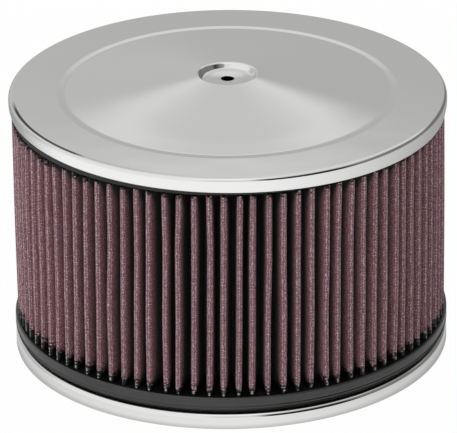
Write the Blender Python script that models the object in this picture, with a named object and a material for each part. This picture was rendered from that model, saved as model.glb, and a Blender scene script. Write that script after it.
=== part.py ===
"""Round carburetor air cleaner.

A lid and a base plate, both pressed from chromed steel sheet, hold a tall filter element
between them. The element is a pleated pack of oiled cotton between wire screens, closed by
a soft moulded cap at each end. The base plate's turned-up neck slips over the carburetor's
air horn and rests on a gasket, and a stud through the hole in the lid's cup clamps the whole
stack together.

Metres, +Z up. The origin is on the axis, level with the edge that the base plate stands on.
"""

import math

import bmesh
import bpy
from mathutils import Matrix

# Shared by the pieces
GAP = 0.0003
RING_STEPS = 40
BEND_STEP = math.radians(40)
SMOOTH_ANGLE = math.radians(42)

# Pressed plates: sheet, rim, and how far inside the cap's bore the base plate's ledge ends
PLATE_RADIUS = 0.1143
SHEET = 0.0008
RIM_DEPTH = 0.0084
RIM_BEND = 0.0023
LEDGE_CLEARANCE = 0.0008

# Lid: sloping step inside the cap's bore, cone, and the cup round the stud hole
STEP_CLEARANCE = 0.0026
STEP_RUN = 0.0065
STEP_DROP = 0.0020
STEP_BEND = 0.0055
CONE_RISE = 0.0117
CUP_RADIUS = 0.0152
CUP_FLOOR_RADIUS = 0.0139
CUP_DEPTH = 0.0030
CUP_LIP_BEND = 0.0014
CUP_FLOOR_BEND = 0.0007
STUD_HOLE_RADIUS = 0.0035

# Base plate: bead that centres the element, sunken pan, and the neck for the air horn
BEAD_HEIGHT = 0.0018
BEAD_FLANK_RUN = 0.0012
BEAD_CROWN_WIDTH = 0.0026
PAN_FLANK_RUN = 0.0016
PLATE_BEND = 0.0011
NECK_BORE_RADIUS = 0.0651
NECK_HEIGHT = 0.0090
NECK_RECESS = 0.0010

# Gasket under the neck
GASKET_WIDTH = 0.0062
GASKET_THICKNESS = 0.0020

# Filter element: moulded end caps
ELEMENT_HEIGHT = 0.1303
CAP_THICKNESS = 0.0091
CAP_FIT = 0.0004
CAP_MARGIN = 0.0020
CAP_EDGE_BEND = 0.0008
FLANGE_TAPER_RUN = 0.0021
FLANGE_TAPER_HEIGHT = 0.0052
FLANGE_TAPER_BEND = 0.0040

# Filter element: pleated pack and the clip that closes it into a ring
PLEAT_COUNT = 92
PLEAT_DEPTH = 0.0178
TIP_INSET = 0.0002
FOLD_RADIUS = 0.0012
MEDIA_THICKNESS = 0.0016
FOLD_SEGMENTS = 3
SEAM_LIP = 0.0040
SEAM_ANGLE = math.radians(90)
CLIP_FIT = 0.0004
CLIP_WALL = 0.0006

# Heights that follow from the stack, from the standing edge up
base_top = RIM_DEPTH
element_bottom = base_top + GAP
element_top = element_bottom + ELEMENT_HEIGHT
lid_top = element_top + GAP + SHEET
pack_bottom = element_bottom + CAP_THICKNESS + GAP
pack_top = element_top - CAP_THICKNESS - GAP
pan_top = NECK_RECESS + GASKET_THICKNESS + GAP + SHEET

# Radii that follow from the outside in
top_cap_radius = PLATE_RADIUS - SHEET - CAP_FIT
tip_radius = top_cap_radius - TIP_INSET
pack_inner_radius = tip_radius - PLEAT_DEPTH
cap_inner_radius = pack_inner_radius - CAP_MARGIN
ledge_inner_radius = cap_inner_radius - LEDGE_CLEARANCE
step_outer_radius = cap_inner_radius - STEP_CLEARANCE


def clear_scene():
    """Remove the objects of the opened file."""
    for thing in list(bpy.data.objects):
        bpy.data.objects.remove(thing, do_unlink=True)


def finish(name, colour, metallic, roughness):
    """Return a Principled material."""
    material = bpy.data.materials.new(name)
    material.use_nodes = True
    shader = material.node_tree.nodes["Principled BSDF"]
    shader.inputs["Base Color"].default_value = (*colour, 1.0)
    shader.inputs["Metallic"].default_value = metallic
    shader.inputs["Roughness"].default_value = roughness
    return material


def add_solid(name, shape, material):
    """Make an object from a bmesh, with its faces pointing out and its bends smooth."""
    bmesh.ops.recalc_face_normals(shape, faces=shape.faces)
    mesh = bpy.data.meshes.new(name)
    shape.to_mesh(mesh)
    shape.free()
    mesh.shade_smooth()
    mesh.set_sharp_from_angle(angle=SMOOTH_ANGLE)
    mesh.materials.append(material)
    solid = bpy.data.objects.new(name, mesh)
    bpy.context.collection.objects.link(solid)
    return solid


def left_of(heading):
    """Return the unit vector to the left of a heading in radians."""
    return (-math.sin(heading), math.cos(heading))


def rounded_path(corners):
    """Round a path's corners, given as (radius, height, bend).

    Returns (point, normal) pairs. The normal is to the left of the direction of travel, so
    it points up where the path runs outwards. A bend of 0 leaves a sharp corner, and the
    others are limited by the walls beside them.
    """
    spans = list(zip(corners, corners[1:]))
    headings = [math.atan2(end[1] - start[1], end[0] - start[0]) for start, end in spans]
    lengths = [math.dist(start[:2], end[:2]) for start, end in spans]
    path = [(corners[0][:2], left_of(headings[0]))]
    for index, (radius, height, bend) in enumerate(corners[1:-1]):
        way_in, way_out = headings[index], headings[index + 1]
        turn = math.remainder(way_out - way_in, math.tau)
        if bend == 0:
            path.append(((radius, height), left_of(way_in + turn / 2)))
            continue
        half_turn_tangent = math.tan(abs(turn) / 2)
        reach = min(bend * half_turn_tangent, 0.48 * min(lengths[index], lengths[index + 1]))
        arc_radius = math.copysign(reach / half_turn_tangent, turn)
        left = left_of(way_in)
        centre_radius = radius - reach * math.cos(way_in) + arc_radius * left[0]
        centre_height = height - reach * math.sin(way_in) + arc_radius * left[1]
        segments = max(2, math.ceil(abs(turn) / BEND_STEP))
        for step in range(segments + 1):
            normal = left_of(way_in + turn * step / segments)
            point = (
                centre_radius - arc_radius * normal[0],
                centre_height - arc_radius * normal[1],
            )
            path.append((point, normal))
    path.append((corners[-1][:2], left_of(headings[-1])))
    return path


def turn_section(name, section, material):
    """Turn a closed section of (radius, height) points once round the axis."""
    shape = bmesh.new()
    ring = [shape.verts.new((radius, 0, height)) for radius, height in section]
    edges = [shape.edges.new((ring[index - 1], ring[index])) for index in range(len(ring))]
    bmesh.ops.spin(
        shape,
        geom=ring + edges,
        axis=(0, 0, 1),
        cent=(0, 0, 0),
        angle=math.tau,
        steps=RING_STEPS,
        use_merge=True,
    )
    return add_solid(name, shape, material)


def press_sheet(name, corners, material):
    """Turn a plate whose upper side follows the corners, with the sheet's thickness below."""
    path = rounded_path(corners)
    upper = [point for point, normal in path]
    lower = [
        (point[0] - SHEET * normal[0], point[1] - SHEET * normal[1]) for point, normal in path
    ]
    return turn_section(name, upper + lower[::-1], material)


def add_lid(chrome):
    """Press the lid: cup and stud hole, cone, sloping step, ledge and turned-down rim."""
    cone_foot = lid_top - STEP_DROP
    cup_lip = cone_foot + CONE_RISE
    cup_floor = cup_lip - CUP_DEPTH
    corners = [
        (STUD_HOLE_RADIUS, cup_floor, 0),
        (CUP_FLOOR_RADIUS, cup_floor, CUP_FLOOR_BEND),
        (CUP_RADIUS, cup_lip, CUP_LIP_BEND),
        (step_outer_radius - STEP_RUN, cone_foot, STEP_BEND),
        (step_outer_radius, lid_top, STEP_BEND),
        (PLATE_RADIUS, lid_top, RIM_BEND),
        (PLATE_RADIUS, lid_top - RIM_DEPTH, 0),
    ]
    return press_sheet("lid", corners, chrome)


def add_base_plate(chrome):
    """Press the base plate: neck, pan, centring bead, ledge and turned-down rim."""
    neck_outer = NECK_BORE_RADIUS + SHEET
    bead_top = base_top + BEAD_HEIGHT
    bead_outer = ledge_inner_radius - BEAD_FLANK_RUN
    bead_inner = bead_outer - BEAD_CROWN_WIDTH
    corners = [
        (neck_outer, pan_top + NECK_HEIGHT, 0),
        (neck_outer, pan_top, PLATE_BEND),
        (bead_inner - PAN_FLANK_RUN, pan_top, PLATE_BEND),
        (bead_inner, bead_top, PLATE_BEND),
        (bead_outer, bead_top, PLATE_BEND),
        (ledge_inner_radius, base_top, PLATE_BEND),
        (PLATE_RADIUS, base_top, RIM_BEND),
        (PLATE_RADIUS, 0, 0),
    ]
    return press_sheet("base_plate", corners, chrome)


def add_neck_gasket(cork):
    """Cut the flat ring that seals the base plate's neck to the carburetor."""
    inner, outer = NECK_BORE_RADIUS, NECK_BORE_RADIUS + GASKET_WIDTH
    bottom, top = NECK_RECESS, NECK_RECESS + GASKET_THICKNESS
    section = [(inner, bottom), (inner, top), (outer, top), (outer, bottom)]
    return turn_section("neck_gasket", section, cork)


def mould_cap(name, outer_radius, sealing_height, facing, rubber):
    """Mould an end cap, whose flange tapers in to the face that seals on the plate.

    facing is 1 for the cap that the pleats stand on and -1 for the one above them.
    """
    outline = [
        (cap_inner_radius, CAP_THICKNESS, 0),
        (cap_inner_radius, 0, CAP_EDGE_BEND),
        (outer_radius - FLANGE_TAPER_RUN, 0, 0),
        (outer_radius, FLANGE_TAPER_HEIGHT, FLANGE_TAPER_BEND),
        (outer_radius, CAP_THICKNESS, CAP_EDGE_BEND),
        (cap_inner_radius, CAP_THICKNESS, 0),
    ]
    section = [
        (radius, sealing_height + facing * height)
        for (radius, height), normal in rounded_path(outline)[:-1]
    ]
    return turn_section(name, section, rubber)


def fold_centres():
    """Return the centre of each fold round the pack, with 1 for a tip and -1 for a root.

    The first root is the seam, where the pack's two ends lie together in a deeper fold.
    """
    tip_centre_radius = tip_radius - MEDIA_THICKNESS / 2 - FOLD_RADIUS
    root_centre_radius = pack_inner_radius + MEDIA_THICKNESS / 2 + FOLD_RADIUS
    pitch = math.tau / PLEAT_COUNT
    folds = []
    for pleat in range(PLEAT_COUNT):
        seam = SEAM_LIP if pleat == 0 else 0
        root_angle = SEAM_ANGLE + pitch * pleat
        tip_angle = root_angle + pitch / 2
        folds.append((root_centre_radius - seam, root_angle, -1))
        folds.append((tip_centre_radius, tip_angle, 1))
    return [(r * math.cos(angle), r * math.sin(angle), side) for r, angle, side in folds]


def flank_heading(start, end):
    """Return the heading of the flank that leaves one fold and runs into the next."""
    across = (end[0] - start[0], end[1] - start[1])
    swing = math.asin(2 * FOLD_RADIUS / math.hypot(*across))
    return math.atan2(across[1], across[0]) + start[2] * swing


def fold_outline(folds, offset):
    """Return the points of the folded sheet's line, moved outwards by the offset."""
    count = len(folds)
    outline = []
    for index, (x, y, side) in enumerate(folds):
        way_in = flank_heading(folds[index - 1], folds[index])
        way_out = flank_heading(folds[index], folds[(index + 1) % count])
        turn = math.remainder(way_out - way_in, math.tau)
        if turn * side < 0:
            turn += side * math.tau
        reach = side * FOLD_RADIUS + offset
        for step in range(FOLD_SEGMENTS + 1):
            left = left_of(way_in + turn * step / FOLD_SEGMENTS)
            outline.append((x - reach * left[0], y - reach * left[1]))
    return outline


def raise_to_pack_top(shape):
    """Extrude the faces that lie at the pack's foot up to the pack's top."""
    raised = bmesh.ops.extrude_face_region(shape, geom=list(shape.faces))["geom"]
    raised_verts = [part for part in raised if isinstance(part, bmesh.types.BMVert)]
    bmesh.ops.translate(shape, verts=raised_verts, vec=(0, 0, pack_top - pack_bottom))


def add_pleated_media(cotton):
    """Fold the pack into a closed ring of pleats and stand it between the caps."""
    folds = fold_centres()
    shape = bmesh.new()
    outer, inner = [
        [shape.verts.new((x, y, pack_bottom)) for x, y in fold_outline(folds, offset)]
        for offset in (MEDIA_THICKNESS / 2, -MEDIA_THICKNESS / 2)
    ]
    for index in range(len(outer)):
        shape.faces.new((outer[index - 1], outer[index], inner[index], inner[index - 1]))
    raise_to_pack_top(shape)
    return add_solid("pleated_media", shape, cotton)


def add_seam_clip(steel):
    """Bend the channel that grips the pack's two ends along the seam, inside the ring."""
    fold_half_width = FOLD_RADIUS + MEDIA_THICKNESS / 2
    inside = fold_half_width + CLIP_FIT
    outside = inside + CLIP_WALL
    mouth = pack_inner_radius
    floor = pack_inner_radius - SEAM_LIP - CLIP_FIT
    back = floor - CLIP_WALL
    section = [
        (mouth, outside), (mouth, inside), (floor, inside), (floor, -inside),
        (mouth, -inside), (mouth, -outside), (back, -outside), (back, outside),
    ]
    shape = bmesh.new()
    shape.faces.new([shape.verts.new((radius, side, pack_bottom)) for radius, side in section])
    raise_to_pack_top(shape)
    turned = Matrix.Rotation(SEAM_ANGLE, 3, "Z")
    bmesh.ops.rotate(shape, verts=shape.verts, cent=(0, 0, 0), matrix=turned)
    return add_solid("media_seam_clip", shape, steel)


def build_air_cleaner():
    """Make every piece of the air cleaner where it sits in the assembly."""
    clear_scene()
    chrome = finish("chromed_steel", (0.72, 0.72, 0.71), 1.0, 0.14)
    rubber = finish("black_urethane", (0.03, 0.03, 0.032), 0.0, 0.45)
    cotton = finish("oiled_cotton", (0.33, 0.13, 0.16), 0.0, 0.85)
    steel = finish("zinc_plated_steel", (0.55, 0.55, 0.53), 1.0, 0.35)
    cork = finish("gasket_cork", (0.20, 0.13, 0.08), 0.0, 0.90)
    add_lid(chrome)
    add_base_plate(chrome)
    add_neck_gasket(cork)
    mould_cap("top_end_cap", top_cap_radius, element_top, -1, rubber)
    mould_cap("bottom_end_cap", PLATE_RADIUS, element_bottom, 1, rubber)
    add_pleated_media(cotton)
    add_seam_clip(steel)


build_air_cleaner()
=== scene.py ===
"""Looks of a round carburetor air cleaner.

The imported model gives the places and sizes. This script turns the two chromed plates and the
moulded caps at full fineness, folds the pleated pack with the small faults of a real one, and
dresses every piece. The light is a soft tent with one dark side, which the chrome mirrors.

Metres, +Z up. The origin is on the axis, level with the edge that the base plate stands on.
"""

import logging
import math
import random
from collections.abc import Callable, Mapping, Sequence
from dataclasses import dataclass, field, replace
from enum import Enum

import bmesh
import bpy
import numpy as np
from mathutils import Matrix, Vector


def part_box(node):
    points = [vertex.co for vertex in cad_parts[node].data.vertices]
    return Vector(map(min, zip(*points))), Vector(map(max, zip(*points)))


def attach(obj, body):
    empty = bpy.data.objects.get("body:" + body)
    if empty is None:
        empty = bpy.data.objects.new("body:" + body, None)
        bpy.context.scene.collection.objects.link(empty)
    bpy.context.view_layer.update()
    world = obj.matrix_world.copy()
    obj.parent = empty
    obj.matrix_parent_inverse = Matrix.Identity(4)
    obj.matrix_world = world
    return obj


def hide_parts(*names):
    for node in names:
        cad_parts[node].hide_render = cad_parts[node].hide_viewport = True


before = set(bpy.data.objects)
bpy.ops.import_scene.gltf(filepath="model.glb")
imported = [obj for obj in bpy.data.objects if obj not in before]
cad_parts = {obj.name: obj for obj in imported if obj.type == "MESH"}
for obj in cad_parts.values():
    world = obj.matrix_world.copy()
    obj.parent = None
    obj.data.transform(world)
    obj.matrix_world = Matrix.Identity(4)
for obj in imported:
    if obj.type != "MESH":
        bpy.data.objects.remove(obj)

LOG = logging.getLogger("air_cleaner")
BODY = "root"

Point = tuple[float, float]
Triple = tuple[float, float, float]
Colour = Triple


def shifted(point: Point, *moves: tuple[Point, float]) -> Point:
    """Move a point by lengths along directions.

    Args:
        point: where it starts.
        moves: the directions, each with its length.

    Returns:
        Where it ends.
    """
    x, y = point
    for (along_x, along_y), length in moves:
        x += along_x * length
        y += along_y * length
    return x, y


def maths(operation: str, swapped: bool = False) -> Callable[..., "Value"]:
    """Make a method of Value that adds one Math node.

    Args:
        operation: the node's operation.
        swapped: whether the value itself is the node's last input, not its first.

    Returns:
        The method, which takes the node's other inputs.
    """

    def method(self: "Value", *others: "Value | float") -> "Value":
        """Add the node and return its result."""
        terms = (*others, self) if swapped else (self, *others)
        node = self.graph.node("ShaderNodeMath", {"operation": operation}, dict(enumerate(terms)))
        return Value(self.graph, node.outputs[0])

    return method


class Value:
    """A number in a shader. Python's operators on it add Math nodes."""

    def __init__(self, graph: "Graph", socket: bpy.types.NodeSocket) -> None:
        """Wrap a socket that gives a number."""
        self.graph = graph
        self.socket = socket

    __add__ = __radd__ = maths("ADD")
    __sub__ = maths("SUBTRACT")
    __rsub__ = maths("SUBTRACT", swapped=True)
    __mul__ = __rmul__ = maths("MULTIPLY")
    __truediv__ = maths("DIVIDE")
    __pow__ = maths("POWER")
    __abs__ = maths("ABSOLUTE")
    floor = maths("FLOOR")
    sine = maths("SINE")
    arcsine = maths("ARCSINE")
    heading_from = maths("ARCTAN2")
    wrapped = maths("WRAP")
    larger = maths("MAXIMUM")
    smaller = maths("MINIMUM")

    def rise(self, low: "Value | float", high: "Value | float") -> "Value":
        """Smooth step.

        Args:
            low: where it leaves 0.
            high: where it reaches 1. Below low, the step falls instead.

        Returns:
            A value from 0 to 1.
        """
        node = self.graph.node(
            "ShaderNodeMapRange",
            {"interpolation_type": "SMOOTHSTEP", "clamp": True},
            {"Value": self, "From Min": low, "From Max": high},
        )
        return Value(self.graph, node.outputs["Result"])


Feed = Value | bpy.types.NodeSocket | float | tuple | str


class Graph:
    """The node tree of one material, or of the world."""

    def __init__(self, tree: bpy.types.NodeTree) -> None:
        """Empty the tree."""
        tree.nodes.clear()
        self.tree = tree

    def node(
        self, kind: str, settings: Mapping[str, object] | None = None,
        inputs: Mapping[str | int, Feed] | None = None,
    ) -> bpy.types.Node:
        """Add a node.

        Args:
            kind: the node's type.
            settings: its properties, set first.
            inputs: the values or links of its sockets, by name or number.

        Returns:
            The node.
        """
        node = self.tree.nodes.new(kind)
        for name, setting in (settings or {}).items():
            setattr(node, name, setting)
        for key, feed in (inputs or {}).items():
            self.feed(node.inputs[key], feed)
        return node

    def feed(self, target: bpy.types.NodeSocket, feed: Feed) -> None:
        """Link a socket, or set its own value."""
        if isinstance(feed, Value):
            feed = feed.socket
        if isinstance(feed, bpy.types.NodeSocket):
            self.tree.links.new(feed, target)
        elif isinstance(feed, tuple) and len(feed) == 3 and target.type == "RGBA":
            target.default_value = (*feed, 1.0)
        else:
            target.default_value = feed

    def value(
        self, kind: str, settings: Mapping[str, object] | None = None,
        inputs: Mapping[str | int, Feed] | None = None, output: str | int = 0,
    ) -> Value:
        """Add a node and return one of its outputs as a number."""
        return Value(self, self.node(kind, settings, inputs).outputs[output])

    def place(self) -> bpy.types.NodeSocket:
        """Add the place on the object, in metres."""
        return self.node("ShaderNodeTexCoord").outputs["Object"]

    def parts(self, vector: bpy.types.NodeSocket) -> tuple[Value, Value, Value]:
        """Split a vector into its three numbers."""
        node = self.node("ShaderNodeSeparateXYZ", None, {0: vector})
        x, y, z = (Value(self, output) for output in node.outputs)
        return x, y, z

    def stretched(self, vector: bpy.types.NodeSocket, scale: Triple) -> bpy.types.NodeSocket:
        """Scale a vector by its axes."""
        node = self.node("ShaderNodeMapping", None, {"Vector": vector, "Scale": scale})
        return node.outputs[0]

    def noise(
        self, vector: bpy.types.NodeSocket, size: float, detail: float = 2.0,
        roughness: float = 0.5,
    ) -> Value:
        """Add soft noise.

        Args:
            vector: the place to read it at, in metres.
            size: the width of its patches, in metres.
            detail: how many finer layers it has.
            roughness: how strong those are.

        Returns:
            A value from 0 to 1, mostly near 0.5.
        """
        inputs = {"Vector": vector, "Scale": 1 / size, "Detail": detail, "Roughness": roughness}
        return self.value("ShaderNodeTexNoise", None, inputs)

    def mix(self, factor: Feed, first: Feed, second: Feed) -> bpy.types.NodeSocket:
        """Mix two colours by a factor from 0, the first, to 1, the second."""
        node = self.node("ShaderNodeMix", {"data_type": "RGBA"}, {0: factor, 6: first, 7: second})
        return node.outputs[2]

    def bump(self, height: Value, reach: float, below: Feed | None = None) -> bpy.types.NodeSocket:
        """Turn a height into normals.

        Args:
            height: the height, from 0 to 1.
            reach: how much a height of 1 stands proud, in metres.
            below: the normals of a coarser bump under this one.

        Returns:
            The socket of the new normals.
        """
        inputs = {"Height": height, "Distance": reach}
        if below is not None:
            inputs["Normal"] = below
        return self.node("ShaderNodeBump", None, inputs).outputs[0]


@dataclass(frozen=True)
class Finish:
    """A finish with a principled shader. Each kind of surface adds its own pattern to it."""

    slot: str
    colour: Colour
    roughness: float
    metallic: float = 0.0
    gloss: float = 0.5
    variant: str = ""

    def pattern(self, graph: Graph) -> dict[str, Feed]:
        """Return what feeds the shader's sockets besides the plain values."""
        raise NotImplementedError

    def material(self) -> bpy.types.Material:
        """Make the finish's material, or return it if it is there."""
        name = f"{self.slot}{self.variant}_finish"
        if name in bpy.data.materials:
            return bpy.data.materials[name]
        material = bpy.data.materials.new(name)
        material.use_nodes = True
        graph = Graph(material.node_tree)
        feeds = {
            "Base Color": self.colour, "Roughness": self.roughness, "Metallic": self.metallic,
            "Specular IOR Level": self.gloss,
        }
        feeds.update(self.pattern(graph))
        shader = graph.node("ShaderNodeBsdfPrincipled", None, feeds)
        graph.node("ShaderNodeOutputMaterial", None, {"Surface": shader.outputs[0]})
        return material


@dataclass(frozen=True)
class Chrome(Finish):
    """Chromed sheet steel: a clear mirror with the press's faint waves and buffing marks, and a
    painted dark reflection along the left of the lid's bend.
    """

    wave_size: float = 0.034
    wave_height: float = 0.00009
    ripple_size: float = 0.006
    ripple_height: float = 0.0000035
    haze_size: float = 0.020
    haze: float = 0.030
    # Painted reflection: these fields place a black line painted along the left of the lid's bend.
    dark_reflection_radius: float = 0.1121
    dark_reflection_reach: float = 0.0011
    dark_reflection_core: float = 0.3
    dark_reflection_faint: float = 0.22
    dark_reflection_floor: Point = (0.1385, 0.1389)
    dark_reflection_starts: Point = (-175.0, -166.0)
    dark_reflection_ends: Point = (-128.0, -135.0)
    dark_reflection_fades: Point = (-90.0, -125.0)
    dark_reflection_colour: Colour = (0.004, 0.004, 0.004)

    def _painted_dark_reflection(self, graph: Graph, place: bpy.types.NodeSocket) -> Value:
        """Return the mask of the dark reflection painted along the lid's bend, from 0 to 1."""
        x, y, z = graph.parts(place)
        radius = (x * x + y * y) ** 0.5
        azimuth = y.heading_from(x) * math.degrees(1)
        strong = azimuth.rise(*self.dark_reflection_ends)
        faint = azimuth.rise(*self.dark_reflection_fades) * self.dark_reflection_faint
        core = self.dark_reflection_reach * self.dark_reflection_core
        across = abs(radius - self.dark_reflection_radius).rise(self.dark_reflection_reach, core)
        along = azimuth.rise(*self.dark_reflection_starts) * strong.larger(faint)
        return across * along * z.rise(*self.dark_reflection_floor)

    def pattern(self, graph: Graph) -> dict[str, Feed]:
        """Wave the mirror a little, cloud it in patches and paint a dark reflection along the lid's
        bend.
        """
        place = graph.place()
        waves = graph.bump(graph.noise(place, self.wave_size, 1.0), self.wave_height)
        ripples = graph.bump(graph.noise(place, self.ripple_size, 1.0), self.ripple_height, waves)
        cloud = graph.noise(place, self.haze_size, 4.0, 0.6)
        return {
            # Painted reflection: the base colour turns black along the lid's bend.
            "Base Color": graph.mix(self._painted_dark_reflection(graph, place), self.colour, self.dark_reflection_colour),
            "Roughness": self.roughness + self.haze * cloud, "Normal": ripples,
        }


@dataclass(frozen=True)
class Urethane(Finish):
    """Moulded black polyurethane: satin, with a faintly pebbled skin and a dusting of wear."""

    pebble_size: float = 0.0016
    pebble_height: float = 0.00006
    swell_size: float = 0.014
    swell_height: float = 0.00030
    worn: Colour = (0.018, 0.019, 0.019)

    def pattern(self, graph: Graph) -> dict[str, Feed]:
        """Pebble the skin and vary its gloss and depth."""
        place = graph.place()
        swell = graph.bump(graph.noise(place, self.swell_size, 1.0), self.swell_height)
        pebbles = graph.bump(graph.noise(place, self.pebble_size, 2.0), self.pebble_height, swell)
        cloud = graph.noise(place, self.swell_size, 5.0, 0.65)
        colour = graph.mix(cloud.rise(0.42, 0.68), self.colour, self.worn)
        return {
            "Base Color": colour, "Roughness": self.roughness + 0.14 * (cloud - 0.5),
            "Normal": pebbles,
        }


@dataclass(frozen=True)
class Cotton(Finish):
    """Oiled red cotton under a woven wire screen, soaked with black urethane at both ends.

    The weave follows the UV map, in metres: along the folded sheet, then up the pleat.
    """

    foot: float = 0.0
    head: float = 0.0
    tip_radius: float = 0.1129
    wire_pitch: float = 0.00086
    wire_wander: float = 0.0012
    wander_size: float = 0.0021
    wire_half: float = 0.30
    wire_core: float = 0.35
    weave_mean: float = 0.70
    weave_swing: float = 0.30
    wire_height: float = 0.00013
    # Painted highlight: the pleat crests are painted paler than the flanks.
    crest_highlight_colour: Colour = (0.840, 0.695, 0.760)
    crest_highlight_depths: Point = (0.0021, 0.0002)
    wire_colour: Colour = (0.705, 0.462, 0.495)
    wire_brown: Colour = (0.705, 0.470, 0.465)
    wire_metal: float = 0.10
    # Painted highlight: near-white glints painted on the wire knuckles.
    knuckle_glint_colour: Colour = (1.00, 0.92, 0.94)
    knuckle_glint_share: float = 0.36
    wire_sheen: float = 0.25
    speck_size: float = 0.0010
    patch_size: float = 0.006
    patch_stretch: Triple = (0.9, 0.22, 1.0)
    patch_reach: Point = (0.42, 0.62)
    ragged_size: float = 0.0022
    ragged_stretch: Triple = (1.0, 0.3, 1.0)
    weave_size: float = 0.0010
    weave_height: float = 0.00012
    brown: Colour = (0.225, 0.067, 0.078)
    # Painted shade: the valleys between the pleats are painted near black, and further up the
    # pleats near both ends.
    valley_shade_colour: Colour = (0.0460, 0.0590, 0.0530)
    valley_depth: float = 0.0019
    valley_blend: float = 0.0056
    valley_narrowing: float = 0.65
    valley_ragged: float = 0.0008
    valley_lip: float = 0.0007
    valley_end_shade_rise: float = 0.0018
    end_shade_reach: float = 0.012
    soak_colour: Colour = (0.002, 0.0025, 0.0025)
    soak_foot: Point = (0.0058, 0.0026)
    soak_head: Point = (0.0015, 0.0001)
    soak_ragged: float = 0.0042
    soak_dither: float = 0.0034
    # The black band at both ends is taller on the object's left side.
    left_band_height: float = 0.0024
    left_band_share_above: float = 0.6
    left_band_reach: Point = (-0.050, -0.105)
    soak_roughness: float = 0.34
    glint_colour: Colour = (0.85, 0.86, 0.86)
    glint_depths: Point = (0.00014, 0.00004)
    glint_share: float = 0.75
    glint_dice: Point = (0.35, 0.80)

    def _screen(self, graph: Graph, along: Value, up: Value) -> tuple[Value, Value, Value]:
        """Weave the wire screen, each wire over one and under the next.

        Args:
            graph: the material's nodes.
            along: the place along the sheet, in metres.
            up: the height, in metres.

        Returns:
            The wires' height from 0 to 1, the lying wires as a mask, and each crossing's
            random number.
        """
        sheet = graph.node("ShaderNodeCombineXYZ", None, {0: along, 1: up}).outputs[0]
        wander = (graph.noise(sheet, self.wander_size, 2.0) - 0.5) * self.wire_wander
        column_run = (along + wander) / self.wire_pitch
        row_run = (up - wander * 0.5) / self.wire_pitch
        column, row = column_run.floor(), row_run.floor()
        edge = self.wire_half, self.wire_half * self.wire_core
        stands = abs(column_run - column - 0.5).rise(*edge)
        lies = abs(row_run - row - 0.5).rise(*edge)
        over = self.weave_mean + self.weave_swing * ((row_run + column) * math.pi).sine()
        under = self.weave_mean - self.weave_swing * ((column_run + row) * math.pi).sine()
        cell = graph.node("ShaderNodeCombineXYZ", None, {0: column, 1: row}).outputs[0]
        dice = graph.value(
            "ShaderNodeTexWhiteNoise", {"noise_dimensions": "2D"}, {"Vector": cell}
        )
        return (stands * over).larger(lies * under), lies, dice

    def pattern(self, graph: Graph) -> dict[str, Feed]:
        """Weave the cotton and the screen, paint shade into the valleys and highlights on the
        crests and knuckles, and soak the ends.
        """
        sheet = graph.node("ShaderNodeUVMap", {"uv_map": PleatedPack.UV_NAME}).outputs[0]
        along, up, _ = graph.parts(sheet)
        x, y, _ = graph.parts(graph.place())
        radius = (x * x + y * y) ** 0.5
        height, lies, dice = self._screen(graph, along, up)
        fibre = graph.noise(sheet, self.weave_size, 3.0, 0.65)
        patch = graph.noise(graph.stretched(sheet, self.patch_stretch), self.patch_size)
        patch = patch.rise(*self.patch_reach)
        ragged = graph.noise(graph.stretched(sheet, self.ragged_stretch), self.ragged_size) - 0.5
        cloth = graph.mix(patch, self.colour, self.brown)
        wire = graph.mix(patch, self.wire_colour, self.wire_brown)
        # Painted highlight: the wire colour turns paler on the pleat crests.
        crest_highlight = radius.rise(*(self.tip_radius - depth for depth in self.crest_highlight_depths))
        wire = graph.mix(crest_highlight, wire, self.crest_highlight_colour)
        speck = graph.noise(sheet, self.speck_size, 1.0).rise(0.30, 0.70)
        wired = height.rise(0.20, 0.80) * (0.40 + 0.60 * dice) * (0.50 + 0.50 * speck)
        meshed = graph.mix(wired, cloth, wire)
        # Painted highlight: near-white glints on the tops of the wire knuckles.
        knuckle_glint = height.rise(0.75, 0.98) * (dice * 0.5 + speck * 0.5).rise(0.45, 0.85)
        meshed = graph.mix(knuckle_glint * self.knuckle_glint_share, meshed, self.knuckle_glint_colour)
        # Painted shade: the colour darkens into the valleys towards the pleat roots, and further up
        # near both ends.
        from_foot, from_head = up - self.foot, self.head - up
        ends = from_foot.smaller(from_head).rise(self.end_shade_reach, 0.0)
        shore = ends * ends * self.valley_end_shade_rise + (self.tip_radius - self.valley_depth)
        blend = self.valley_blend * (1 - self.valley_narrowing * ends)
        frayed = radius + ragged * self.valley_ragged
        lit = frayed.rise(shore - blend, shore + self.valley_lip)
        valley_shaded = graph.mix(lit, self.valley_shade_colour, meshed)
        edge = ragged * self.soak_ragged + (dice - 0.5) * self.soak_dither
        # The black band at both ends reaches higher on the object's left side.
        left_band = x.rise(*self.left_band_reach) * self.left_band_height
        foot = (from_foot + edge - left_band).rise(*self.soak_foot)
        head = (from_head + edge - left_band * self.left_band_share_above).rise(*self.soak_head)
        soak = foot.larger(head)
        ridge = radius.rise(*(self.tip_radius - depth for depth in self.glint_depths))
        bare = dice.rise(*self.glint_dice) * self.glint_share
        glint = ridge * (0.45 + 0.55 * lies) * foot * bare
        soaked = graph.mix(soak, valley_shaded, self.soak_colour)
        relief = graph.bump(fibre, self.weave_height)
        return {
            "Base Color": graph.mix(glint, soaked, self.glint_colour),
            "Metallic": (height * self.wire_metal * lit * (1 - soak)).larger(glint),
            "Roughness": (self.roughness - self.wire_sheen * height) * (1 - soak)
            + self.soak_roughness * soak,
            "Normal": graph.bump(height * (1 - soak * 0.5), self.wire_height, relief),
        }


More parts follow.
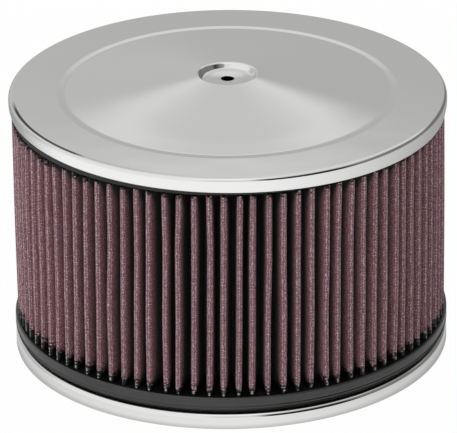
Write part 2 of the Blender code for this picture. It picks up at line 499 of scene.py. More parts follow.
@dataclass(frozen=True)
class Cork(Finish):
    """Gasket cork: pressed granules in two browns."""

    granule: float = 0.0012
    dark: Colour = (0.10, 0.055, 0.030)

    def pattern(self, graph: Graph) -> dict[str, Feed]:
        """Scatter the granules."""
        place = graph.place()
        cells = graph.value(
            "ShaderNodeTexVoronoi", None, {"Vector": place, "Scale": 1 / self.granule}
        )
        grain = graph.noise(place, self.granule * 2, 3.0)
        colour = graph.mix(grain.rise(0.35, 0.65), self.colour, self.dark)
        return {"Base Color": colour, "Normal": graph.bump(cells, 0.00012)}


@dataclass(frozen=True)
class ZincSteel(Finish):
    """Zinc-plated strip: dull, with long rolling marks."""

    mark_width: float = 0.0008

    def pattern(self, graph: Graph) -> dict[str, Feed]:
        """Draw the rolling marks up the strip."""
        place = graph.stretched(graph.place(), (1.0, 1.0, 0.03))
        marks = graph.noise(place, self.mark_width, 3.0)
        return {
            "Roughness": self.roughness + 0.2 * (marks - 0.5),
            "Normal": graph.bump(marks, 0.00003),
        }


@dataclass(frozen=True)
class Bend:
    """A corner of a profile: its place, and the radius that rounds it."""

    radius: float
    height: float
    bend: float = 0.0


class Profile:
    """A line of (radius, height) points with the normal to the left of its direction."""

    FINE_TURN = math.radians(9)
    FINE_STEP = 0.0006
    SUPPORT = 0.0003
    SAME = 0.00001
    FREE_SHARE = 0.48
    EDGE_SHARE = 0.35

    def __init__(self, bends: Sequence[Bend]) -> None:
        """Round the bends with arcs, with a support point on each straight beside them."""
        self.points: list[Point] = []
        self.normals: list[Point] = []
        corners = [(bend.radius, bend.height) for bend in bends]
        spans = list(zip(corners, corners[1:]))
        headings = [math.atan2(b[1] - a[1], b[0] - a[0]) for a, b in spans]
        lengths = [math.dist(a, b) for a, b in spans]
        self._add(corners[0], headings[0])
        for index, bend in enumerate(bends[1:-1]):
            room = self.FREE_SHARE * min(lengths[index], lengths[index + 1])
            self._turn(bend, headings[index], headings[index + 1], room)
        self._add(corners[-1], headings[-1])

    def _add(self, point: Point, heading: float) -> None:
        """Append a point on a stretch with that heading, unless it is there already."""
        if self.points and math.dist(self.points[-1], point) < self.SAME:
            return
        self.points.append(point)
        self.normals.append((-math.sin(heading), math.cos(heading)))

    def _turn(self, bend: Bend, way_in: float, way_out: float, room: float) -> None:
        """Append a rounded corner.

        Args:
            bend: the corner.
            way_in: the heading before it.
            way_out: the heading after it.
            room: how far the arc may reach along the walls beside it.
        """
        turn = math.remainder(way_out - way_in, math.tau)
        half = math.tan(abs(turn) / 2)
        reach = min(bend.bend * half, room - self.SUPPORT)
        side = math.copysign(reach / half, turn)
        corner = (bend.radius, bend.height)
        along = (math.cos(way_in), math.sin(way_in))
        self._add(shifted(corner, (along, -reach - self.SUPPORT)), way_in)
        centre = shifted(corner, (along, -reach), ((-along[1], along[0]), side))
        arc = abs(turn * side)
        steps = max(3, math.ceil(abs(turn) / self.FINE_TURN), math.ceil(arc / self.FINE_STEP))
        for step in range(steps + 1):
            heading = way_in + turn * step / steps
            self._add(shifted(centre, ((math.sin(heading), -math.cos(heading)), side)), heading)
        along = (math.cos(way_out), math.sin(way_out))
        self._add(shifted(corner, (along, reach + self.SUPPORT)), way_out)

    def sheet_section(self, sheet: float) -> list[Point]:
        """Return the closed section of a sheet below the line, with rounded cut edges."""
        below = [
            shifted(point, (normal, -sheet)) for point, normal in zip(self.points, self.normals)
        ]
        first, last = self._cut_edge(0, sheet)[::-1], self._cut_edge(-1, sheet)
        return self.points[1:-1] + last + below[-2:0:-1] + first

    def _cut_edge(self, end: int, sheet: float) -> list[Point]:
        """Round a sheet's cut edge.

        Args:
            end: 0 for the edge at the line's start, -1 for the one at its end.
            sheet: the sheet's thickness.

        Returns:
            The points of the rounded edge, from the line down.
        """
        point, normal = self.points[end], self.normals[end]
        way = 1 if end == -1 else -1
        along = (normal[1] * way, -normal[0] * way)
        bevel = sheet * self.EDGE_SHARE
        edge = []
        for centre, start in ((bevel, 0), (sheet - bevel, 4)):
            for angle in (step * math.pi / 8 for step in range(start, start + 5)):
                rise, out = bevel * math.cos(angle) - centre, bevel * (math.sin(angle) - 1)
                edge.append(shifted(point, (normal, rise), (along, out)))
        return edge


class Bench:
    """Modelling steps made with Blender's operators."""

    MERGE = 0.000005

    @staticmethod
    def pick(piece: bpy.types.Object) -> None:
        """Select one piece alone and make it active."""
        bpy.ops.object.select_all(action="DESELECT")
        piece.select_set(True)
        bpy.context.view_layer.objects.active = piece

    @staticmethod
    def start(name: str, place: Triple) -> bpy.types.Object:
        """Open a new piece in edit mode, as one selected point.

        Args:
            name: the piece's name.
            place: where the point is.

        Returns:
            The piece, in edit mode.
        """
        bpy.ops.object.select_all(action="DESELECT")
        bpy.ops.mesh.primitive_plane_add(size=0.01, location=(0, 0, 0))
        piece = bpy.context.object
        piece.name = name
        piece.data.name = name
        bpy.ops.object.mode_set(mode="EDIT")
        bpy.ops.mesh.select_mode(type="VERT")
        bpy.ops.mesh.select_all(action="SELECT")
        bpy.ops.mesh.merge(type="CENTER")
        bpy.ops.transform.translate(value=place)
        return piece

    @staticmethod
    def draw(points: Sequence[Triple]) -> None:
        """Extrude the selected point along a path whose first point it is."""
        for start, end in zip(points, points[1:]):
            step = tuple(b - a for a, b in zip(start, end))
            bpy.ops.mesh.extrude_vertices_move(TRANSFORM_OT_translate={"value": step})

    @classmethod
    def merge_all(cls) -> None:
        """Select everything in edit mode and merge the points that coincide."""
        bpy.ops.mesh.select_all(action="SELECT")
        bpy.ops.mesh.remove_doubles(threshold=cls.MERGE)

    @classmethod
    def draw_loop(cls, name: str, path: Sequence[Triple]) -> bpy.types.Object:
        """Start a piece as a closed loop of points, and leave it selected in edit mode."""
        piece = cls.start(name, path[0])
        cls.draw([*path, path[0]])
        cls.merge_all()
        return piece

    @staticmethod
    def raise_rows(height: float, rows: int) -> None:
        """Extrude what is selected straight up by a height, in equal rows."""
        step = (0, 0, height / rows)
        for _ in range(rows):
            bpy.ops.mesh.extrude_region_move(TRANSFORM_OT_translate={"value": step})

    @classmethod
    def turn(cls, name: str, section: Sequence[Point], steps: int) -> bpy.types.Object:
        """Turn a closed section of (radius, height) points once round the axis.

        Args:
            name: the piece's name.
            section: the points, in order.
            steps: how many steps make the turn.

        Returns:
            The finished solid, in object mode.
        """
        piece = cls.draw_loop(name, [(radius, 0.0, height) for radius, height in section])
        bpy.ops.mesh.spin(
            steps=steps, angle=math.tau, use_auto_merge=True, center=(0, 0, 0), axis=(0, 0, 1)
        )
        cls.close()
        return piece

    @classmethod
    def close(cls) -> None:
        """Merge the doubles, point the faces out and leave edit mode."""
        cls.merge_all()
        bpy.ops.mesh.normals_make_consistent(inside=False)
        bpy.ops.object.mode_set(mode="OBJECT")

    @classmethod
    def lean(
        cls, piece: bpy.types.Object, angle: float, height: float, low: float = -1.0,
        high: float = 1.0,
    ) -> None:
        """Lean a piece, or a part of it, so that its left side rises.

        Args:
            piece: the piece, in object mode.
            angle: by how much, in radians.
            height: the height of the pivot on the axis.
            low: what lies below this height stays.
            high: what lies above this height stays.
        """
        cls.pick(piece)
        bpy.ops.object.mode_set(mode="EDIT")
        bpy.ops.mesh.select_mode(type="VERT")
        bpy.ops.mesh.select_all(action="DESELECT")
        mesh = bmesh.from_edit_mesh(piece.data)
        for vertex in mesh.verts:
            vertex.select = low < vertex.co.z < high
        mesh.select_flush_mode()
        bmesh.update_edit_mesh(piece.data)
        bpy.ops.transform.rotate(value=-angle, orient_axis="Y", center_override=(0, 0, height))
        bpy.ops.object.mode_set(mode="OBJECT")

    @classmethod
    def modify(cls, piece: bpy.types.Object, kind: str, settings: Mapping[str, object]) -> None:
        """Add a modifier, set it and apply it."""
        modifier = piece.modifiers.new(kind.lower(), kind)
        for name, setting in settings.items():
            setattr(modifier, name, setting)
        cls.pick(piece)
        bpy.ops.object.modifier_apply(modifier=modifier.name)

    @classmethod
    def smooth(cls, piece: bpy.types.Object, degrees: float) -> None:
        """Shade smooth up to an angle between faces."""
        cls.pick(piece)
        bpy.ops.object.shade_smooth_by_angle(angle=math.radians(degrees))


@dataclass(frozen=True)
class Stack:
    """The heights and radii that the pieces share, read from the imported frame."""

    sheet: float = 0.0008
    rim_depth: float = 0.0084
    plate_radius: float = field(default_factory=lambda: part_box("lid")[1].x)
    lid_edge: float = field(default_factory=lambda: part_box("lid")[0].z)
    cap_inner: float = 0.0931
    lid_lean: float = math.radians(0.5)

    @property
    def lid_top(self) -> float:
        """Height of the lid's ledge."""
        return self.lid_edge + self.rim_depth

    @property
    def ledge_inner(self) -> float:
        """Radius where both plates' ledges end."""
        return self.cap_inner - 0.0008


def dress(piece: bpy.types.Object, finish: Finish, smooth_angle: float, *nodes: str) -> None:
    """Give a piece its finish and put it in place of its CAD nodes.

    Args:
        piece: the finished piece.
        finish: its finish.
        smooth_angle: up to which angle in degrees its faces blend.
        nodes: the CAD nodes that it stands for.
    """
    Bench.smooth(piece, smooth_angle)
    piece.data.materials.clear()
    piece.data.materials.append(finish.material())
    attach(piece, BODY)
    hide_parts(*nodes)
    reach = max(abs(value) for corner in piece.bound_box for value in corner[:2])
    LOG.info("%s: %d faces, reach %.5f m", piece.name, len(piece.data.polygons), reach)


@dataclass
class PressedPlates:
    """The lid and the base plate, both pressed from chromed sheet."""

    stack: Stack
    finish: Chrome
    turn_steps: int = 288
    rim_bend: float = 0.0027
    edge_lean: float = math.radians(0.6)
    edge_height: float = 0.0012
    rim_tuck: float = 0.0009
    rim_tuck_reach: float = 0.0032
    rim_tuck_bend: float = 0.0200
    step_clearance: float = 0.0041
    step_run: float = 0.0041
    step_drop: float = 0.00015
    step_bend: float = 0.0100
    ledge_fall: float = 0.0002
    cone_rise: float = 0.00985
    cone_waists: tuple[Point, Point] = ((0.0450, 0.00502), (0.0660, 0.00199))
    cone_waist_bend: float = 1.0000
    cup_radius: float = 0.0152
    cup_floor_radius: float = 0.0133
    cup_depth: float = 0.0030
    cup_lip_bend: float = 0.0014
    cup_floor_bend: float = 0.0007
    stud_hole_radius: float = 0.0035
    bead_height: float = 0.0018
    bead_flank_run: float = 0.0012
    bead_crown_width: float = 0.0026
    pan_flank_run: float = 0.0016
    plate_bend: float = 0.0011
    pan_top: float = 0.0041
    neck_bore: float = 0.0651
    neck_height: float = 0.0090

    def build_lid(self) -> bpy.types.Object:
        """Press the lid: cup and stud hole, cone, sloping step, ledge and rim."""
        stack = self.stack
        cone_foot = stack.lid_top - self.step_drop
        cup_lip = cone_foot + self.cone_rise
        cup_floor = cup_lip - self.cup_depth
        step_outer = stack.cap_inner - self.step_clearance
        step_inner = step_outer - self.step_run
        line = Profile(
            [
                Bend(self.stud_hole_radius, cup_floor),
                Bend(self.cup_floor_radius, cup_floor, self.cup_floor_bend),
                Bend(self.cup_radius, cup_lip, self.cup_lip_bend),
                *(
                    Bend(radius, cone_foot + rise, self.cone_waist_bend)
                    for radius, rise in self.cone_waists
                ),
                Bend(step_inner, cone_foot, self.step_bend),
                Bend(step_outer, stack.lid_top, self.step_bend),
                Bend(stack.plate_radius, stack.lid_top - self.ledge_fall, self.rim_bend),
                Bend(
                    stack.plate_radius, stack.lid_edge + self.rim_tuck_reach, self.rim_tuck_bend
                ),
                Bend(stack.plate_radius - self.rim_tuck, stack.lid_edge),
            ]
        )
        lid = Bench.turn("chromed_lid", line.sheet_section(stack.sheet), self.turn_steps)
        Bench.lean(lid, self.edge_lean, stack.lid_edge, high=stack.lid_edge + self.edge_height)
        Bench.lean(lid, stack.lid_lean, stack.lid_top)
        return lid

    def build_base(self) -> bpy.types.Object:
        """Press the base plate: neck, pan, centring bead, ledge and rim."""
        stack = self.stack
        neck_outer = self.neck_bore + stack.sheet
        bead_top = stack.rim_depth + self.bead_height
        bead_outer = stack.ledge_inner - self.bead_flank_run
        bead_inner = bead_outer - self.bead_crown_width
        line = Profile(
            [
                Bend(neck_outer, self.pan_top + self.neck_height),
                Bend(neck_outer, self.pan_top, self.plate_bend),
                Bend(bead_inner - self.pan_flank_run, self.pan_top, self.plate_bend),
                Bend(bead_inner, bead_top, self.plate_bend),
                Bend(bead_outer, bead_top, self.plate_bend),
                Bend(stack.ledge_inner, stack.rim_depth, self.plate_bend),
                Bend(stack.plate_radius, stack.rim_depth, self.rim_bend),
                Bend(stack.plate_radius, 0.0),
            ]
        )
        return Bench.turn("chromed_base_plate", line.sheet_section(stack.sheet), self.turn_steps)

    def build(self) -> None:
        """Build and dress both plates."""
        dress(self.build_lid(), self.finish, 40, "lid")
        dress(self.build_base(), self.finish, 40, "base_plate")


@dataclass
class EndCaps:
    """The element's moulded caps. Each flange tapers a little and stops just short of its plate."""

    stack: Stack
    finish: Urethane
    shaded: Urethane
    turn_steps: int = 256
    edge_bend: float = 0.0008
    gap: float = 0.0013
    gap_run: float = 0.0045
    taper_run: float = 0.0009
    taper_height: float = 0.0052
    taper_bend: float = 0.0040
    ridge_heights: Point = (0.0016, 0.0032)
    ridge_width: float = 0.0007
    ridge_reach: float = 0.00030
    fine_bend: float = 0.00012
    upper_slack: float = 0.0006
    lean_reach: float = 0.0012

    def _flange(self, outer: float, height: float) -> float:
        """Return the flange's radius at a height over the sealing face."""
        share = (self.taper_height - height) / (self.taper_height - self.gap)
        return outer - self.taper_run * max(0.0, share)

    def _ridge(self, outer: float, height: float) -> list[Bend]:
        """Return the foot, crest and head of a fine moulding ridge on the flange.

        Args:
            outer: the flange's largest radius.
            height: the height of the ridge's foot over the sealing face.

        Returns:
            Its bends, from the foot up.
        """
        heights = [height, height + self.ridge_width / 2, height + self.ridge_width]
        reaches = [0.0, self.ridge_reach, 0.0]
        return [
            Bend(self._flange(outer, level) + reach, level, self.fine_bend)
            for level, reach in zip(heights, reaches)
        ]

    def mould(self, name: str, node: str, facing: int, slack: float) -> bpy.types.Object:
        """Mould one cap round its CAD node.

        Args:
            name: the piece's name.
            node: the CAD node that gives its radius and heights.
            facing: 1 if the pleats stand on it, -1 if it lies on them.
            slack: how far its flange stays inside the node's radius.

        Returns:
            The cap.
        """
        low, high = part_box(node)
        sealing = low.z if facing == 1 else high.z
        thickness = high.z - low.z
        inner, outer = self.stack.cap_inner, high.x - slack
        foot = self._flange(outer, self.gap)
        bends = [
            Bend((inner + outer) / 2, thickness),
            Bend(inner, thickness, self.edge_bend),
            Bend(inner, 0, self.edge_bend),
            Bend(foot - self.gap_run, 0, self.fine_bend),
            Bend(foot - self.gap_run, self.gap, self.fine_bend),
            Bend(foot, self.gap, self.fine_bend),
            *(bend for height in self.ridge_heights for bend in self._ridge(outer, height)),
            Bend(outer, self.taper_height, self.taper_bend),
            Bend(outer, thickness, self.edge_bend),
            Bend((inner + outer) / 2, thickness),
        ]
        section = [(r, sealing + facing * z) for r, z in Profile(bends).points[:-1]]
        cap = Bench.turn(name, section, self.turn_steps)
        if facing == -1:
            Bench.lean(cap, self.stack.lid_lean, sealing, low=sealing - self.lean_reach)
        return cap

    def build(self) -> None:
        """Build and dress both caps."""
        top = self.mould("upper_urethane_cap", "top_end_cap", -1, self.upper_slack)
        dress(top, self.shaded, 50, "top_end_cap")
        bottom = self.mould("lower_urethane_cap", "bottom_end_cap", 1, 0.0)
        dress(bottom, self.finish, 50, "bottom_end_cap")


@dataclass
class PleatedPack:
    """Oiled cotton between wire screens, folded into a ring of pleats."""

    UV_NAME = "sheet"

    finish: Cotton
    pleats: int = 92
    thickness: float = 0.0013
    fold_radius: float = 0.0009
    depth: float = 0.0178
    tip_radius: float = 0.1129
    rows: int = 18
    root_steps: int = 2
    flank_steps: int = 3
    tip_steps: int = 8
    seam_lip: float = 0.0040
    seam_angle: float = math.radians(90)
    twist: float = math.radians(0.9)
    tip_wander: float = math.radians(0.30)
    root_wander: float = math.radians(0.30)
    lean_share: float = 0.7
    sway_share: float = 0.45
    levels: tuple[float, ...] = (0.0, 0.35, 0.7, 1.0)
    bulge: float = 0.0004
    bulge_shares: Point = (-0.5, 1.0)
    merge_reach: float = 0.00004
    seed: int = 20

    def _centres(self) -> tuple[Point, Point, Point]:
        """Return the centres of a root's fold, the next tip's and the next root's."""
        pitch = math.tau / self.pleats
        root = self.tip_radius - self.depth + self.thickness / 2 + self.fold_radius
        tip = self.tip_radius - self.thickness / 2 - self.fold_radius
        angles = (self.seam_angle, self.seam_angle + pitch / 2, self.seam_angle + pitch)
        return tuple(
            (radius * math.cos(angle), radius * math.sin(angle))
            for radius, angle in zip((root, tip, root), angles)
        )

    def pleat_line(self) -> list[Point]:
        """Return one pleat's line, from the middle of a root over the tip to the next root."""
        centres = self._centres()
        swing = math.asin(2 * self.fold_radius / math.dist(centres[0], centres[1]))
        climb = math.atan2(centres[1][1] - centres[0][1], centres[1][0] - centres[0][0]) - swing
        fall = math.atan2(centres[2][1] - centres[1][1], centres[2][0] - centres[1][0]) + swing
        across = self.seam_angle + math.pi / 2
        line = self._fold(centres[0], across, climb, self.root_steps)
        tip = self._fold(centres[1], climb, fall, self.tip_steps)
        root = self._fold(centres[2], fall, across + math.tau / self.pleats, self.root_steps)
        return self._bridge(self._bridge(line, tip), root)

    def _fold(self, centre: Point, way_in: float, way_out: float, steps: int) -> list[Point]:
        """Return the points of one fold, which turns by less than half a turn.

        Args:
            centre: the fold's centre.
            way_in: the heading where the fold starts.
            way_out: the heading where it ends.
            steps: how many steps it has.

        Returns:
            The points in order.
        """
        turn = math.remainder(way_out - way_in, math.tau)
        reach = math.copysign(self.fold_radius, turn)
        headings = [way_in + turn * step / steps for step in range(steps + 1)]
        return [
            (centre[0] + reach * math.sin(heading), centre[1] - reach * math.cos(heading))
            for heading in headings
        ]

    def _bridge(self, line: list[Point], fold: list[Point]) -> list[Point]:
        """Join a fold to the line by a straight flank with points along it."""
        start, end = line[-1], fold[0]
        shares = [step / self.flank_steps for step in range(1, self.flank_steps)]
        flank = [
            (start[0] + (end[0] - start[0]) * share, start[1] + (end[1] - start[1]) * share)
            for share in shares
        ]
        return line + flank + fold

    def _map_sheet(self, piece: bpy.types.Object, line: Sequence[Point]) -> float:
        """Write the UV map of one pleat, in metres.

        Args:
            piece: the pleat, whose vertices stand in rows along the line.
            line: the line.

        Returns:
            The line's length.
        """
        runs = [0.0]
        for start, end in zip(line, line[1:]):
            runs.append(runs[-1] + math.dist(start, end))
        mesh = piece.data
        layer = mesh.uv_layers.new(name=self.UV_NAME)
        for loop in mesh.loops:
            place = mesh.vertices[loop.vertex_index].co
            nearest = min(range(len(line)), key=lambda i: math.dist(line[i], place[:2]))
            layer.data[loop.index].uv = (runs[nearest], place.z)
        return runs[-1]

    def _repeat(self, piece: bpy.types.Object, run: float) -> None:
        """Copy the pleat round the axis and merge the copies into one sheet."""
        guide = bpy.data.objects.new("pitch_guide", None)
        guide.rotation_euler = (0, 0, math.tau / self.pleats)
        bpy.context.collection.objects.link(guide)
        bpy.context.view_layer.update()
        Bench.modify(
            piece, "ARRAY",
            {
                "count": self.pleats, "use_relative_offset": False, "use_object_offset": True,
                "offset_object": guide, "use_merge_vertices": True,
                "use_merge_vertices_cap": True, "merge_threshold": self.merge_reach,
                "offset_u": run,
            },
        )
        bpy.data.objects.remove(guide)

    @staticmethod
    def _read(items: bpy.types.bpy_prop_collection, name: str, width: int) -> np.ndarray:
        """Read one property of every item, as rows of that width."""
        flat = np.zeros(len(items) * width, int if name == "vertex_index" else float)
        items.foreach_get(name, flat)
        return flat.reshape(-1, width)

    def _age(self, piece: bpy.types.Object, run: float, foot: float, height: float) -> None:
        """Lean, crowd and bulge the pleats a little, and sink the seam's root.

        Args:
            piece: the ring of pleats.
            run: the length of one pleat along the sheet.
            foot: the height of the pleats' foot.
            height: the pleats' height.
        """
        mesh = piece.data
        corner = self._read(mesh.loops, "vertex_index", 1)[:, 0]
        sheet = self._read(mesh.uv_layers[self.UV_NAME].data, "uv", 2)
        fold_of = np.zeros(len(mesh.vertices))
        fold_of[corner] = sheet[:, 0] / run * 2
        co = self._read(mesh.vertices, "co", 3)
        up = np.clip((co[:, 2] - foot) / height, 0, 1)
        dice = random.Random(self.seed)
        folds = self.pleats * 2
        turns = np.zeros((len(self.levels), folds + 1))
        swells = np.zeros(folds + 1)
        for fold in range(folds):
            wander = self.tip_wander if fold % 2 else self.root_wander
            lean = dice.gauss(0, wander * self.lean_share)
            for level in range(len(self.levels)):
                turns[level, fold] = lean + dice.gauss(0, wander * self.sway_share)
            swells[fold] = dice.uniform(*self.bulge_shares) * self.bulge if fold % 2 else 0.0
        turns[:, folds] = turns[:, 0]
        swells[folds] = swells[0]
        fold_axis = np.arange(folds + 1)
        by_level = np.array([np.interp(fold_of, fold_axis, row) for row in turns])
        turn = self.twist * (up - 0.5) + by_level[0]
        for low, high, change in zip(self.levels, self.levels[1:], np.diff(by_level, axis=0)):
            share = np.clip((up - low) / (high - low), 0, 1)
            turn += change * share * share * (3 - 2 * share)
        swell = np.interp(fold_of, fold_axis, swells) * np.sin(np.pi * up)
        from_seam = np.minimum(fold_of, folds - fold_of)
        swell -= self.seam_lip * np.clip(1 - from_seam, 0, 1)
        radius = np.hypot(co[:, 0], co[:, 1]) + swell
        heading = np.arctan2(co[:, 1], co[:, 0]) + turn
        co[:, 0] = radius * np.cos(heading)
        co[:, 1] = radius * np.sin(heading)
        mesh.vertices.foreach_set("co", co.ravel())
        mesh.update()

    def build(self) -> None:
        """Fold, repeat, age and thicken the pack, and dress it."""
        low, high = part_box("pleated_media")
        line = self.pleat_line()
        path = [(x, y, low.z) for x, y in line]
        piece = Bench.start("pleated_cotton_pack", path[0])
        Bench.draw(path)
        bpy.ops.mesh.select_all(action="SELECT")
        Bench.raise_rows(high.z - low.z, self.rows)
        Bench.close()
        run = self._map_sheet(piece, line)
        self._repeat(piece, run)
        self._age(piece, run, low.z, high.z - low.z)
        Bench.modify(
            piece, "SOLIDIFY",
            {"thickness": self.thickness, "offset": 0.0, "use_even_offset": True},
        )
        bpy.ops.object.mode_set(mode="EDIT")
        Bench.close()
        dress(piece, replace(self.finish, foot=low.z, head=high.z), 60, "pleated_media")


@dataclass
class HiddenParts:
    """The gasket under the neck, and the clip that closes the pack inside the ring."""

    cork: Cork
    steel: ZincSteel
    gasket_bend: float = 0.0003
    gasket_steps: int = 160
    clip_wall: float = 0.0006
    clip_bend: float = 0.0006
    rows: int = 28

    def build_gasket(self) -> bpy.types.Object:
        """Cut the gasket, with softened edges."""
        low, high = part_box("neck_gasket")
        inner = PressedPlates.neck_bore
        middle = (inner + high.x) / 2
        bends = [
            Bend(middle, low.z), Bend(inner, low.z, self.gasket_bend),
            Bend(inner, high.z, self.gasket_bend), Bend(high.x, high.z, self.gasket_bend),
            Bend(high.x, low.z, self.gasket_bend), Bend(middle, low.z),
        ]
        return Bench.turn("cork_gasket", Profile(bends).points[:-1], self.gasket_steps)

    def build_clip(self) -> bpy.types.Object:
        """Bend the channel and raise it in rows."""
        low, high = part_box("media_seam_clip")
        half = (high.x - low.x) / 2
        bends = [
            Bend(high.y, half), Bend(low.y, half, self.clip_bend + self.clip_wall),
            Bend(low.y, -half, self.clip_bend + self.clip_wall), Bend(high.y, -half),
        ]
        section = Profile(bends).sheet_section(-self.clip_wall)
        path = [(-side, along, low.z) for along, side in section]
        piece = Bench.draw_loop("zinc_seam_clip", path)
        bpy.ops.mesh.edge_face_add()
        Bench.raise_rows(high.z - low.z, self.rows)
        Bench.close()
        return piece

    def build(self) -> None:
        """Build and dress the gasket and the clip."""
        dress(self.build_gasket(), self.cork, 40, "neck_gasket")
        dress(self.build_clip(), self.steel, 40, "media_seam_clip")


@dataclass(frozen=True)
class Panel:
    """A soft-edged stretch of the tent wall, by direction from the object, in degrees.

    Azimuth 0 is behind the object as the camera sees it, and 90 is to its right.
    """

    azimuth: float
    half_width: float
    side_blur: float
    low: float
    high: float
    low_blur: float
    high_blur: float
    light: Colour

    def mask(self, azimuth: Value, elevation: Value) -> Value:
        """Return the panel's share at a direction, from 0 to 1."""
        aside = abs((azimuth - self.azimuth).wrapped(180.0, -180.0))
        share = aside.rise(self.half_width + self.side_blur, self.half_width - self.side_blur)
        above = elevation.rise(self.low - self.low_blur, self.low + self.low_blur)
        below = elevation.rise(self.high + self.high_blur, self.high - self.high_blur)
        return share * above * below


class Tent(Enum):
    """The walls of the light tent, laid over each other in this order."""

    HIGH_MIDDLE = Panel(0, 8, 5, 34, 90, 2.5, 1, (0.62, 0.62, 0.62))
    LEFT = Panel(-135, 64, 30, -90, 80, 1, 14, (0.88, 0.88, 0.88))
    LEFT_BACK = Panel(-42, 30, 12, -90, 30.5, 1, 8, (0.55, 0.55, 0.55))
    BACK = Panel(0, 20, 8, -90, 24.3, 1, 1.5, (0.485, 0.485, 0.480))
    BACK_LEFT = Panel(-21, 18.5, 2.5, -90, 27.3, 1, 3.5, (0.545, 0.545, 0.54))
    BACK_RIGHT = Panel(19, 15.5, 2.5, -90, 28.8, 1, 3.5, (0.48, 0.48, 0.475))
    RIGHT_BACK = Panel(42, 24, 7, -90, 32, 1, 5, (0.18, 0.18, 0.175))
    RIGHT = Panel(92, 42, 14, -90, 47, 1, 15, (0.20, 0.20, 0.195))
    RIGHT_FRONT = Panel(140, 26, 8, -90, 45, 1, 18, (0.020, 0.017, 0.015))
    FRONT = Panel(180, 12, 7, -90, 90, 1, 1, (0.75, 0.75, 0.75))
    FRONT_TOP = Panel(176, 30, 12, 46, 90, 6, 1, (1.00, 1.00, 1.00))


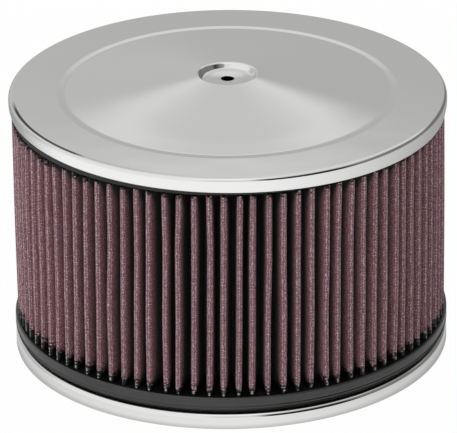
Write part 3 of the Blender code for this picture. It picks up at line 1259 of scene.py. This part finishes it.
@dataclass
class Studio:
    """Floor, tent light and camera."""

    focus: Vector = field(default_factory=lambda: Vector((-0.0006, 0.0, 0.0679)))
    distance: float = 2.60
    elevation: float = math.radians(24.25)
    roll: float = math.radians(0.9)
    lens: float = 388.7
    sensor: float = 36.0
    roof: Colour = (0.755, 0.755, 0.755)
    floor_size: float = 12.0
    floor_share: float = 0.985
    # Painted floor light for glossy rays: shade behind the object, brighter towards its left and
    # front.
    back_floor_shade: float = 0.37
    left_floor: Point = (-45.0, -100.0)
    right_floor: Point = (30.0, 185.0)
    near_floor: float = 0.56
    near_left: float = 0.10
    near_left_starts: Point = (20.0, -60.0)
    near_left_ends: Point = (-179.0, -125.0)
    near_front: float = 0.33
    near_front_reach: Point = (90.0, 185.0)
    near_reach: Point = (0.130, 0.200)
    # Painted contact shadow round the object's foot, seen only by glossy rays.
    contact_shadow_floor: float = 0.65
    contact_shadow_reach: Point = (0.1135, 0.1190)
    open_reach: Point = (0.1125, 0.1135)
    floor_colour: Colour = (0.85, 0.85, 0.85)

    def light_world(self) -> None:
        """Show white behind the object and light it with the tent."""
        world = bpy.data.worlds.new("light_tent")
        bpy.context.scene.world = world
        world.use_nodes = True
        graph = Graph(world.node_tree)
        direction = graph.node("ShaderNodeTexCoord").outputs["Generated"]
        x, y, z = graph.parts(direction)
        azimuth = x.heading_from(y) * math.degrees(1)
        elevation = z.arcsine() * math.degrees(1)
        light: Feed = self.roof
        for wall in Tent:
            light = graph.mix(wall.value.mask(azimuth, elevation), light, wall.value.light)
        seen = graph.node("ShaderNodeLightPath").outputs["Is Camera Ray"]
        colour = graph.mix(seen, light, (1.0, 1.0, 1.0))
        background = graph.node("ShaderNodeBackground", None, {"Color": colour})
        graph.node("ShaderNodeOutputWorld", None, {"Surface": background.outputs[0]})

    def lay_floor(self) -> None:
        """Lay a white floor that keeps a faint shadow. The chrome sees it glow with painted light:
        painted shade behind the object, a painted contact shadow round its foot and a painted
        shadow under it.
        """
        bpy.ops.object.select_all(action="DESELECT")
        bpy.ops.mesh.primitive_plane_add(size=self.floor_size, location=(0, 0, 0))
        floor = bpy.context.object
        floor.name = "studio_floor"
        material = bpy.data.materials.new("studio_floor")
        material.use_nodes = True
        graph = Graph(material.node_tree)
        x, y, _ = graph.parts(graph.place())
        azimuth = x.heading_from(y) * math.degrees(1)
        radius = (x * x + y * y) ** 0.5
        open_floor = radius.rise(*self.open_reach)
        # Painted shadow: glossy rays see the floor black under the object.
        painted_floor_glow = self._painted_floor_light(azimuth, radius) * open_floor
        path = graph.node("ShaderNodeLightPath")
        seen = Value(graph, path.outputs["Is Camera Ray"])
        glossy = Value(graph, path.outputs["Is Glossy Ray"])
        glow = painted_floor_glow * (1 - seen) + seen
        matt = graph.node("ShaderNodeBsdfDiffuse", None, {"Color": self.floor_colour})
        light = graph.node("ShaderNodeEmission", None, {"Color": glow, "Strength": 1.0})
        share = (seen * open_floor * self.floor_share).larger(glossy)
        inputs = {0: share, 1: matt.outputs[0], 2: light.outputs[0]}
        mixed = graph.node("ShaderNodeMixShader", None, inputs)
        graph.node("ShaderNodeOutputMaterial", None, {"Surface": mixed.outputs[0]})
        floor.data.materials.append(material)

    def _painted_floor_light(self, azimuth: Value, radius: Value) -> Value:
        """Return the painted light that the chrome sees on a place of the floor, with painted shade
        behind the object and a painted contact shadow round its foot.

        Args:
            azimuth: the place's azimuth in degrees, 0 behind the object.
            radius: its distance from the axis.

        Returns:
            The floor's light there.
        """
        sides = azimuth.rise(*self.left_floor) + azimuth.rise(*self.right_floor)
        far = sides * (1 - self.back_floor_shade) + self.back_floor_shade
        left = azimuth.rise(*self.near_left_starts) * azimuth.rise(*self.near_left_ends)
        front = abs(azimuth).rise(*self.near_front_reach)
        near = left * self.near_left + front * self.near_front + self.near_floor
        share = radius.rise(*self.near_reach)
        contact_shadow = radius.rise(*self.contact_shadow_reach) * (1 - self.contact_shadow_floor)
        return (far * share + near * (1 - share)) * (contact_shadow + self.contact_shadow_floor)

    def place_camera(self) -> None:
        """Look at the object from the photograph's side, with its slight roll."""
        data = bpy.data.cameras.new("camera")
        data.lens = self.lens
        data.sensor_width = self.sensor
        data.sensor_fit = "HORIZONTAL"
        data.clip_end = 50.0
        camera = bpy.data.objects.new("camera", data)
        bpy.context.scene.collection.objects.link(camera)
        back = Vector((0, -math.cos(self.elevation), math.sin(self.elevation)))
        place = self.focus + back * self.distance
        upright = back.to_track_quat("Z", "Y").to_matrix().to_4x4()
        turned = Matrix.Rotation(-self.roll, 4, "Z")
        camera.matrix_world = Matrix.Translation(place) @ upright @ turned
        bpy.context.scene.camera = camera

    def build(self) -> None:
        """Set the stage."""
        bpy.context.scene.view_settings.view_transform = "Standard"
        self.light_world()
        self.lay_floor()
        self.place_camera()


def corners(box: tuple[Vector, Vector]) -> list[list[float]]:
    """Return a box as plain lists."""
    return [list(corner) for corner in box]


def main() -> None:
    """Build every piece in order and set the stage."""
    logging.basicConfig(level=logging.INFO, format="%(name)s: %(message)s")
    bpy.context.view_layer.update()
    stack = Stack()
    chrome = Chrome("chrome_plate", (0.86, 0.86, 0.855), 0.06, 1.0)
    urethane = Urethane("urethane", (0.006, 0.0065, 0.0065), 0.32, gloss=0.85)
    PressedPlates(stack, chrome).build()
    shaded = Urethane("urethane", (0.006, 0.006, 0.006), 0.50, gloss=0.45, variant="_shaded")
    EndCaps(stack, urethane, shaded).build()
    PleatedPack(Cotton("cotton_media", (0.215, 0.058, 0.080), 0.72, gloss=0.25)).build()
    HiddenParts(
        Cork("gasket", (0.26, 0.16, 0.09), 0.85),
        ZincSteel("clip_steel", (0.58, 0.58, 0.56), 0.35, 1.0),
    ).build()
    Studio().build()


if __name__ == "__main__":
    main()
